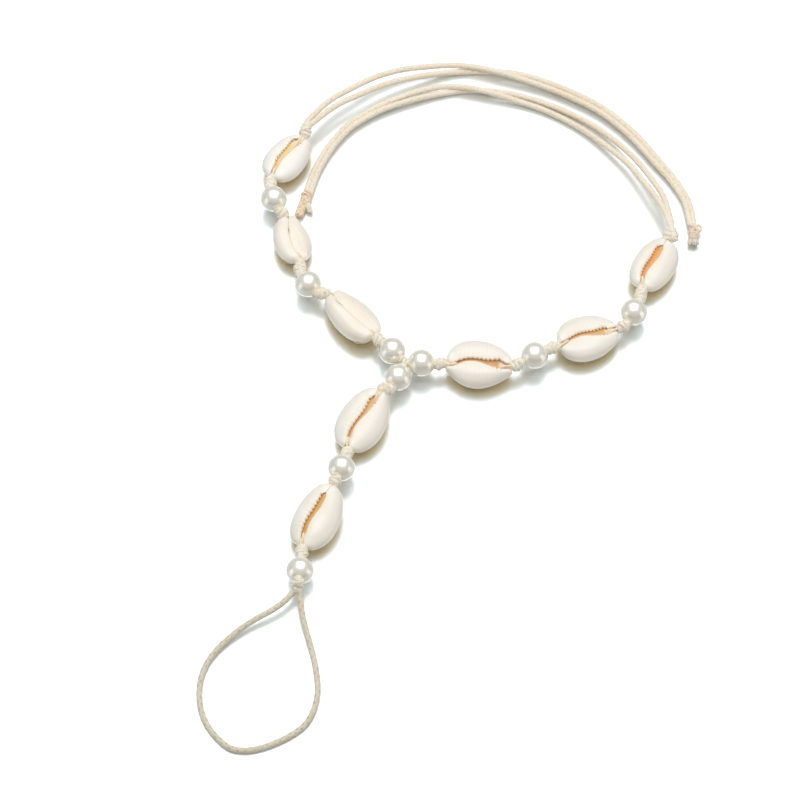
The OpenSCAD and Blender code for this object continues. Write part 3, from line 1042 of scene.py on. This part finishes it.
@dataclass
class EndKnot:
    """The knot that ends a pair of tie strands, with the cut ends of the cord."""

    node: str
    seed: int
    strands: list[tuple[Array, float]]
    coil: Knot
    coil_turns: float
    brush: ArrayLike
    near: float
    far: float
    pale: float
    fibres: int

    def whipping(self) -> Array:
        """Winds thin cord round the strands.

        Returns:
            Its line.
        """
        t = np.linspace(0, 1, int(40 * self.coil_turns) + 8)
        line = self.coil.at(t)
        _, across, up = frames(line)
        away = self.coil.width / 2 - self.coil.thick
        return line + away * around(FULL_TURN * self.coil_turns * t + 0.6, across, up)

    def add_brush(self, parts: MeshParts) -> None:
        """Adds the short fibres of the cut end.

        Args:
            parts: The mesh that they go into.
        """
        rng = np.random.default_rng(self.seed)
        out = resampled(self.brush, 0.3, 0.2)
        way, across, up = frames(out)
        t = np.linspace(0, 1, len(out))[:, None]
        for _ in range(self.fibres):
            turn, away = np.array([rng.uniform(0, 6.28)]), math.sqrt(rng.uniform(0, 1))
            spread = mix(self.near, self.far, t**0.9) * away * around(turn, across, up)
            fibre = out + spread + rng.uniform(-0.1, 0.1) * way
            fibre = fibre[: max(4, int(len(out) * rng.uniform(0.72, 1.0)))]
            fibre[:, 2] = np.maximum(fibre[:, 2], 0.22)
            parts.cord(fibre, rng.uniform(0.16, 0.26), 7, Ply.TWISTED, pale=self.pale * rng.uniform(0.5, 1.0))

    def build(self, material: Material) -> bpy.types.Object:
        """Makes the knot and its ends.

        Args:
            material: The cord's finish.

        Returns:
            The piece.
        """
        parts = MeshParts()
        for line, radius in (*self.strands, (self.whipping(), self.coil.thick)):
            parts.cord(line, radius, 14, pale=0.0)
        self.add_brush(parts)
        return parts.piece(f"frayed_{self.node}", self.node, material)


BRIGHT_SHELL = ShellFinish("bright_cowrie", "fffcf6", "fdf3eb")
WHITE_SHELL = ShellFinish("white_cowrie", "fef7ee", "faede1")
CREAM_SHELL = ShellFinish("cream_cowrie", "fef4ea", "fbecdc", "e0bc4c")


def point(x: float, y: float, z: float) -> Array:
    """Returns a dataclass field that holds a point."""
    return field(default_factory=lambda: np.array([x, y, z]))


@dataclass
class Anklet:
    """The whole anklet: beads in their places and the cords through them."""

    cowries: dict[str, Cowrie] = field(default_factory=dict)
    pearls: dict[int, Pearl] = field(default_factory=dict)
    meeting: Array = point(-19.4, -4.6, 6.0)
    left_top: Array = point(-49.6, 78.2, 6.4)
    right_top: Array = point(60.7, 40.9, 6.2)
    toe_top: Array = point(-50.4, -77.6, 4.2)

    # Columns as in Cowrie, from x to bias.
    SHELL_ROWS = {
        "a": (-55.2, 67.2, 56, 0, 0, 17, 6.4, 5.8, 0.62, 0.75, 0.12),
        "b": (-53.3, 38.4, 106, 0, 10, 16, 5.9, 5.3, 0.8, 1.1, 0.12),
        "c": (-35.3, 11.2, 133, 0, 10, 19.4, 5.9, 6.2, 0.75, 0.65, 0.12),
        "d": (2.3, -5.5, -4, 0, 5, 19.7, 8.3, 6.7, 0.62, 1.25, 0.06),
        "e": (34.7, 4, 18, 0, 0, 18.3, 7.9, 6.8, 0.62, 0.8, 0.12),
        "f": (55.3, 29.3, 64, 0, 0, 18.3, 6.35, 6.25, 0.62, 0.72, -0.1),
        "g": (-31.5, -23.6, 63, 7, 0, 20.4, 7.4, 6.7, 0.62, 0.8, 0.1),
        "h": (-44.7, -54.9, 65, 7, 0, 20.4, 6.5, 6.7, 0.62, 0.8, 0.12),
    }
    SLITS = {
        "a": Slit(
            (-0.7, -1.1, -1.4, -2.0, -2.1, -2.1, -1.95, -2.1, -2.1, -1.9, -0.9, -0.6),
            (0.5, 0.1, -0.15, -0.35, -0.3, -0.15, 0.05, 0.3, 0.6, 0.7, 0.7, 0.8),
            0.0, 1.07, 0.35, 0.6,
        ),
        "b": Slit(
            (0.0, -0.23, -0.93, -1.3, -1.35, -1.3, -1.17, -0.9, -0.26, -0.05, 0.1, -0.2),
            (0.6, -0.17, -0.87, -1.24, -1.29, -1.24, -1.11, -0.84, -0.2, 0.01, 0.16, 0.6),
            0.1, 1.0, 0.95, 0.28,
        ),
        "c": Slit(
            (0.0, -0.08, -0.53, -0.76, -0.98, -1.1, -1.03, -1.03, -1.1, -0.75, -0.3, 0.0),
            (0.8, -0.02, -0.47, -0.7, -0.92, -1.04, -0.97, -0.97, -1.04, -0.69, -0.24, 0.8),
            0.1, 1.1, 0.95, 0.5,
        ),
        "d": Slit(
            (-0.6, 0.2, -0.64, -1.27, -1.43, -1.32, -1.2, -1.4, -1.7, -1.35, -0.65, -0.6),
            (0.8, 1.2, 0.39, -0.36, -0.52, -0.3, 0.34, 0.84, 1.05, 1.15, 1.05, 0.8),
            0.8, 1.3, 0.5, 0.55,
        ),
        "e": Slit(
            (-0.6, -0.6, -0.95, -1.34, -1.45, -1.25, -1.05, -1.15, -1.2, -0.45, -0.4, -0.6),
            (0.9, 0.64, -0.05, -0.27, -0.3, 0.18, 0.75, 1.1, 1.25, 1.25, 1.05, 0.8),
            0.2, 1.07, 0.5, 0.5,
        ),
        "f": Slit(
            (-0.8, -1.36, -2.0, -2.2, -2.1, -1.85, -1.75, -1.75, -1.3, -0.05, -0.04, -0.02),
            (0.4, -0.3, -0.68, -0.64, -0.3, 0.05, 0.39, 0.42, 0.25, 0.03, 0.02, 0.02),
            1.0, 1.1, 0.92, front_shut=True,
        ),
        "g": Slit(
            (-0.9, -1.3, -1.77, -1.77, -1.5, -1.2, -0.95, -1.05, -1.1, -0.6, -0.1, -0.2),
            (0.3, -0.4, -0.75, -0.9, -0.64, -0.07, 0.5, 0.73, 1.0, 1.1, 1.15, 1.1),
            0.4, 1.3, 0.6, 0.5,
        ),
        "h": Slit(
            (-0.7, -1.2, -1.8, -2.1, -2.0, -1.7, -1.55, -1.45, -1.35, -0.42, -0.2, -0.02),
            (0.6, -0.4, -0.5, -0.73, -0.6, -0.27, 0.07, 0.15, 0.0, -0.34, -0.14, 0.02),
            0.6, 1.25, 0.85, front_shut=True,
        ),
    }  # fmt: skip
    # Pearls 1 to 9.
    PEARL_ROWS = (
        (-59.2, 52, 5.6), (-48.4, 22.1, 5.8), (-23.3, -0.75, 6),
        (-14.7, -4.85, 6), (18.7, -2.3, 6), (48.5, 12.5, 5.8),
        (-21.55, -9.6, 6), (-37.9, -39.6, 6.4), (-49.5, -71.9, 5.4),
    )  # fmt: skip
    # Columns: x, y, z, half the distance between the strands, half the height of one over the other.
    LEFT_TIE = (
        (-49.1, 78.7, 6.3, 0.85, 0), (-42.1, 86.1, 5.8, 1.3, 0), (-35.2, 90.8, 5.2, 1.6, 0),
        (-28, 95.2, 4.4, 1.8, 0), (-20.4, 98.4, 3.5, 1.8, 0), (-12.5, 100.4, 2.6, 1.5, 0.1),
        (-4.6, 101.5, 2.1, 0.9, 0.6), (3.3, 101.2, 2.1, 0.1, 0.9), (11.2, 99.8, 2.4, -0.7, 0.7),
        (18.9, 97.6, 2.4, -1.0, 0.2), (26.4, 94.6, 2.3, -0.92, 0), (33.6, 91.0, 2.2, -0.9, 0),
        (40.5, 86.8, 2.1, -0.88, 0), (46.8, 81.3, 2.0, -0.86, 0), (52.3, 75.1, 1.9, -0.84, 0),
        (57.3, 68.2, 1.7, -0.78, 0), (62.2, 61.4, 1.5, -0.7, 0.08), (66.1, 53.9, 1.3, -0.64, 0.12),
        (67.5, 45.6, 1.45, -0.62, 0.12),
    )  # fmt: skip
    RIGHT_TIE = (
        (60.6, 42.4, 6.1, 0.36, 0), (59.8, 46.6, 5.9, 0.42, 0), (57.9, 52.4, 5.5, 1.05, 0),
        (54.6, 58.9, 4.6, 1.3, 0),
        (49.7, 66.9, 3.4, 1.4, 0), (43.9, 73.7, 2.3, 1.6, 0), (37.6, 79.7, 1.5, 1.6, 0),
        (30.7, 84.4, 1.2, 1.4, 0), (23.5, 88.1, 1.3, 1.2, 0), (15.9, 90.8, 1.6, 1.1, 0.1),
        (8.1, 92.8, 2, 0.8, 0.6), (0.1, 94, 2, 0.1, 0.9), (-7.9, 93.9, 1.6, -1, 0.4),
        (-15.8, 91.9, 1.7, -1.2, 0), (-23.4, 88.9, 1.9, -0.95, 0), (-30.6, 85.0, 1.9, -0.74, 0),
        (-37.2, 79.8, 1.9, -0.64, 0.08), (-42.4, 72.8, 1.8, -0.6, 0.12), (-46.4, 65.0, 1.6, -0.6, 0.12),
        (-48.9, 57, 1.5, -0.62, 0.12),
    )  # fmt: skip
    TOE_LOOP = (
        (-51.3, -77.8, 4.1), (-53.9, -80.9, 3.8), (-57.7, -83.6, 3.3), (-61.8, -85.8, 2.8),
        (-65.7, -88.3, 2.2), (-69.4, -91.3, 1.7), (-72.7, -94.6, 1.3), (-75.4, -98.5, 1),
        (-77.1, -103.1, 0.8), (-77.5, -108, 0.8), (-76.9, -112.9, 0.8), (-75, -117.5, 0.8),
        (-72.1, -121.4, 0.8), (-68.4, -124.5, 0.8), (-63.9, -125.2, 0.8), (-59.4, -124.3, 0.8),
        (-55.1, -122.6, 0.8), (-51, -120.3, 0.8), (-47.4, -117.2, 0.8), (-45.2, -112.9, 0.8),
        (-44.2, -108.1, 0.8), (-44.4, -103.1, 0.8), (-45.2, -98.1, 0.8), (-46.4, -93.4, 1),
        (-47.7, -88.7, 1.5), (-48.9, -84, 2.5), (-49.6, -78.1, 4.1),
    )  # fmt: skip
    # The middles of the two end knots.
    LEFT_END = (-49.5, 54.1, 2.1)
    RIGHT_END = (67.7, 43, 2.1)

    def __post_init__(self) -> None:
        """Lays the beads out and aims the pearls along the string."""
        finishes = {"a": BRIGHT_SHELL, "b": CREAM_SHELL, "c": CREAM_SHELL}
        for letter, row in self.SHELL_ROWS.items():
            self.cowries[letter] = Cowrie(letter, *row, finishes.get(letter, WHITE_SHELL), self.SLITS[letter])
        self.pearls = {number: Pearl(number, row) for number, row in enumerate(self.PEARL_ROWS, 1)}
        tip = {k + ("-", "+")[end > 0]: c.tip(end) for k, c in self.cowries.items() for end in (-1, 1)}
        aims = (
            (tip["a-"], tip["b+"]),
            (tip["b-"], tip["c+"]),
            (self.pearls[3].middle, self.meeting),
            (self.meeting, self.pearls[4].middle),
            (tip["d+"], tip["e-"]),
            (tip["e+"], tip["f-"]),
            (self.meeting, self.pearls[7].middle),
            (tip["g-"], tip["h+"]),
            (tip["h-"], self.toe_top),
        )
        for pearl, (a, b) in zip(self.pearls.values(), aims):
            pearl.aim = unit(np.subtract(b, a))

    def route(self, stops: str) -> list[Array]:
        """Leads the string through beads.

        Args:
            stops: Pearls by number, and shells by letter with + towards the front tip or - towards the rear.

        Returns:
            The string's points in each bead.
        """
        runs = []
        for stop in stops.split():
            if stop.isdigit():
                runs.append(np.array([self.pearls[int(stop)].face(end) for end in (-1, 1)]))
                continue
            shell, way = self.cowries[stop[0]], 1 if stop[1] == "+" else -1
            places = np.r_[np.linspace(-1, -0.25, 14), np.linspace(0.25, 1, 14)] * way
            runs.append(np.array([shell.tip(-way), *(shell.in_slit(float(u)) for u in places), shell.tip(way)]))
        return runs

    def strings(self) -> list[KnottedString]:
        """Threads the beads.

        Returns:
            The knotted string of both arms and that of the drop.
        """
        before, after, below = self.route("3 4 7")
        crossing = np.array([*before, self.meeting, *after])
        beside = self.meeting + 0.9 * unit(self.pearls[7].middle - self.meeting)
        left, right = self.route("a- 1 b- 2 c-"), self.route("d+ 5 e+ 6 f+")
        arms = [[self.left_top], *left, crossing, *right, [self.right_top]]
        drop = [np.array([beside, *below]), *self.route("g- 8 h- 9"), [self.toe_top]]
        along = 0.75 * unit(np.subtract(self.pearls[4].middle, self.pearls[3].middle))
        tied = Knot(self.meeting - along, self.meeting + along, 77, 2.6, 0.45, 0.8, 0.1)
        low = Knot((60.6, 41.0, 6.3), (61.3, 36.9, 6.2), 68, 3.5, 0.6, 0.8, 0.1)
        lapping = Knot((-49.7, -74.9, 7.9), (-50.1, -77.1, 6.2), 62, 2.9, 0.5, 0.8, 0.1)
        beads = list(self.pearls.values())
        return [
            KnottedString("ankle_string", arms, 11, [tied, low], [1, 3, 5, 7, 9, 11], beads[:6]),
            KnottedString("drop_string", drop, 40, [lapping], [1, 3], beads[6:]),
        ]

    def strand(self, rows: tuple, side: int, start: ArrayLike, end: ArrayLike) -> Array:
        """Works out one strand of a pair.

        Args:
            rows: The pair's table.
            side: 1 for the strand on the left of its way, -1 for the other.
            start: The knot that it comes out of.
            end: The knot that it goes into.

        Returns:
            The strand's points.
        """
        table = np.array(rows)
        line = table[:, :3].copy()
        way = np.gradient(line, axis=0)
        left = np.stack([-way[:, 1], way[:, 0]], 1)
        line[:, :2] += side * table[:, 3:4] * left / np.linalg.norm(left, axis=1)[:, None]
        line[:, 2] += side * table[:, 4]
        return np.concatenate([[start], catmull(line, 6), [end]])

    def left_end(self) -> EndKnot:
        """Shapes the end of the right tie: a looped knot, a plaited tail and a short pale one.

        Returns:
            The knot.
        """
        bends = [(-49, 56.6, 1.7), (-49.5, 55.4, 2.0), (-50.2, 53.2, 1.9), (-51.1, 50.7, 1.6), (-51.7, 48.6, 1.4)]
        tail = resampled(bends, 0.15, 0.3)
        a = np.radians(np.linspace(200, -95, 26))
        loop = np.stack([-49.3 + 0.7 * np.cos(a), 53.9 + 1.1 * np.sin(a), 1.9 + 0.8 * np.sin(a / 2 + 0.6)], 1)
        bends = [(-49.4, 52.8, 2.0), (-49.0, 51.9, 1.9), (-48.6, 51.1, 1.5), (-48.4, 50.4, 1.1), (-48.6, 49.7, 0.8)]
        pale = catmull(bends, 8)
        lump = np.linspace((-49.2, 54.9, 2.1), (-49.5, 52.9, 1.9), 12)
        strands = [*((line, 0.68) for line in braid(tail, 0.72, 3.2)), (loop, 0.6), (lump, 1.05)]
        whipping = Knot(tail[2], tail[2] + unit(tail[9] - tail[2]) * 1.5, 5, 3.5, 0.45)
        return EndKnot("left_end_knot", 5, strands, whipping, 1.3, pale, 0.4, 0.9, 1.0, 60)

    def right_end(self) -> EndKnot:
        """Shapes the end of the left tie: a lump with a small loop, a whipping and a pale brush.

        Returns:
            The knot.
        """
        middle = np.array(self.RIGHT_END)
        core = resampled([(67.6, 45.2, 1.7), middle, (67.7, 40.8, 2.1), (67.7, 40.0, 1.9)], 0.2, 0.3)
        a = np.radians(np.linspace(170, -170, 24))
        ring = middle + np.stack([1.6 + 0.8 * np.cos(a), 0.55 + 0.95 * np.sin(a), 0.3 + 0.25 * np.sin(a)], 1)
        bends = ((-1.0, 1.9, -0.2), (-0.7, 1.5, 0.7), (0.2, 0.7, 1.1), (1.1, -0.2, 0.8), (1.3, -1.2, -0.1))
        lump = catmull(np.add(middle, bends), 8)
        bends = ((1.3, 1.6, -0.1), (1.0, 1.0, 0.7), (0.2, 0.1, 0.9), (-0.8, -0.6, 0.6), (-1.2, -1.2, -0.2))
        back = catmull(np.add(middle, bends), 8)
        _, across, up = frames(core)
        strands = [(core - 0.5 * across, 0.62), (core + 0.5 * across, 0.62), (core + 0.42 * up, 0.5)]
        strands += [(lump, 0.6), (back, 0.5), (ring, 0.4)]
        whipping = Knot(middle - [0, 1.1, 0], middle - [0, 3.1, 0.1], 9, 3.0, 0.3)
        brush = [(67.7, 40.7, 2.0), (67.7, 40.0, 1.9), (67.7, 39.3, 1.5), (67.65, 38.6, 0.9)]
        return EndKnot("right_end_knot", 9, strands, whipping, 3.3, brush, 1.05, 1.75, 0.7, 130)

    def build(self) -> None:
        """Makes every piece."""
        tie = CordFinish("tie_cord", "fbf1e2", "f6e4cd", "d6bc98", 0.45).material()
        left_end = self.left_end().build(CordFinish("tan_end", "fde9d2", "f6dabb", "cc9f70").material())
        right_end = self.right_end().build(CordFinish("peach_end", "fceddd", "f5dcc2", "d6ab86", 0.5).material())
        pairs = (
            ("left", self.LEFT_TIE, self.left_top, self.RIGHT_END, right_end),
            ("right", self.RIGHT_TIE, self.right_top, self.LEFT_END, left_end),
        )
        for name, rows, start, end, knot in pairs:
            for level, side in (("upper", 1), ("lower", -1)):
                FreeCord(f"{name}_tie_{level}", self.strand(rows, side, start, end), "knot", [knot]).build(tie)
        loop = np.concatenate([[self.toe_top], catmull(self.TOE_LOOP, 6), [self.toe_top]])
        toe = CordFinish("toe_cord", "eae1d0", "dccfb8", "9c8560")
        FreeCord("toe_loop", loop, "object", radius=0.85).build(toe.material())
        paint = {finish: finish.material() for finish in (BRIGHT_SHELL, WHITE_SHELL, CREAM_SHELL)}
        for cowrie in self.cowries.values():
            piece = cowrie.build(paint[cowrie.finish])
        coat = PearlFinish().material()
        for pearl in self.pearls.values():
            pearl.build(coat)
        cord = CordFinish("knotted_cord", "fff8ea", "faecd6", "cdb188").material()
        for string in self.strings():
            string.build(cord)


@dataclass
class Studio:
    """The table, the soft lights and the camera."""

    elevation: float = 62.0
    distance: float = 973.5
    lens: float = 148.5
    room: float = 0.54
    reach: float = 4.0

    # Name, place, target, width and height in metres, watts and colour.
    LIGHTS = (
        ("overhead", (0.0, 0.25, 0.75), (-0.02, -0.01, 0.0), 1.0, 1.0, 4.3, "fffefc"),
        ("near_strip", (-0.02, -0.1, 0.76), (-0.02, -0.01, 0.0), 0.34, 0.2, 0.45, "fffdfa"),
        ("left_window", (-0.92, -0.3, 0.22), (0, 0, 0), 0.5, 0.45, 0.7, "f4faff"),
        ("right_window", (0.88, -0.3, 0.22), (0, 0, 0), 0.5, 0.45, 0.7, "fff8f0"),
    )

    def table(self) -> None:
        """Lays the table under the anklet."""
        mesh = bpy.data.meshes.new("table_top")
        corners = [(x * self.reach, y * self.reach, 0) for x, y in ((-1, -1), (1, -1), (1, 1), (-1, 1))]
        mesh.from_pydata(corners, [], [(0, 1, 2, 3)])
        mesh.materials.append(TableFinish().material())
        top = bpy.data.objects.new("table_top", mesh)
        bpy.context.scene.collection.objects.link(top)

    def lights(self) -> None:
        """Hangs the soft boxes and turns each to its target."""
        for name, place, target, width, height, watts, colour in self.LIGHTS:
            data = bpy.data.lights.new(name, "AREA")
            data.shape = "RECTANGLE"
            data.size, data.size_y = width, height
            data.energy = watts
            data.color = srgb(colour)[:3]
            lamp = bpy.data.objects.new(name, data)
            lamp.location = place
            x, y, z = np.subtract(target, place)
            lamp.rotation_euler = (math.atan2(math.hypot(x, y), -z), 0.0, math.atan2(y, x) - math.pi / 2)
            bpy.context.scene.collection.objects.link(lamp)

    def world(self) -> None:
        """Fills the room with pale light, brighter overhead and warmer on the near side."""
        tree = ShaderTree(bpy.data.worlds.new("room"))
        axes = tree.add("SeparateXYZ", {0: tree.add("TexCoord").outputs["Generated"]}).outputs
        ahead = tree.add("Math", {0: axes["Y"], 1: 1.0}, operation="ADD").outputs[0]
        high = tree.ramp(axes["Z"], (0.0, (0.36, 0.41, 0.45, 1)), (0.75, (0.91, 0.98, 1, 1)))
        near = tree.ramp(ahead, (0.1, (0.78, 0.66, 0.52, 1)), (0.5, (1, 1, 1, 1)))
        both = tree.blend(1.0, high, near, "MULTIPLY")
        shade = tree.add("Background", {"Color": both, "Strength": self.room})
        tree.add("OutputWorld", {"Surface": shade.outputs["Background"]})
        bpy.context.scene.world = tree.owner

    def camera(self) -> None:
        """Sets the camera at the photograph's height and distance."""
        data = bpy.data.cameras.new("camera")
        data.lens = self.lens
        data.sensor_width = 36.0
        data.clip_start = 0.02
        camera = bpy.data.objects.new("camera", data)
        e = math.radians(self.elevation)
        camera.location = (PHOTO_MIDDLE + self.distance * np.array([0, -math.cos(e), math.sin(e)])) * MM
        camera.rotation_euler = (math.pi / 2 - e, 0, 0)
        bpy.context.scene.collection.objects.link(camera)
        bpy.context.scene.camera = camera

    def build(self) -> None:
        """Sets up everything round the anklet."""
        self.camera()
        self.table()
        self.world()
        self.lights()
        view = bpy.context.scene.view_settings
        view.view_transform = "Standard"
        view.look = "None"
        view.exposure, view.gamma = 0.0, 1.0


def main() -> None:
    """Builds the studio and the anklet."""
    logging.basicConfig(level=logging.INFO, format="%(message)s")
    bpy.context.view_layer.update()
    Studio().build()
    Anklet().build()


if __name__ == "__main__":
    main()
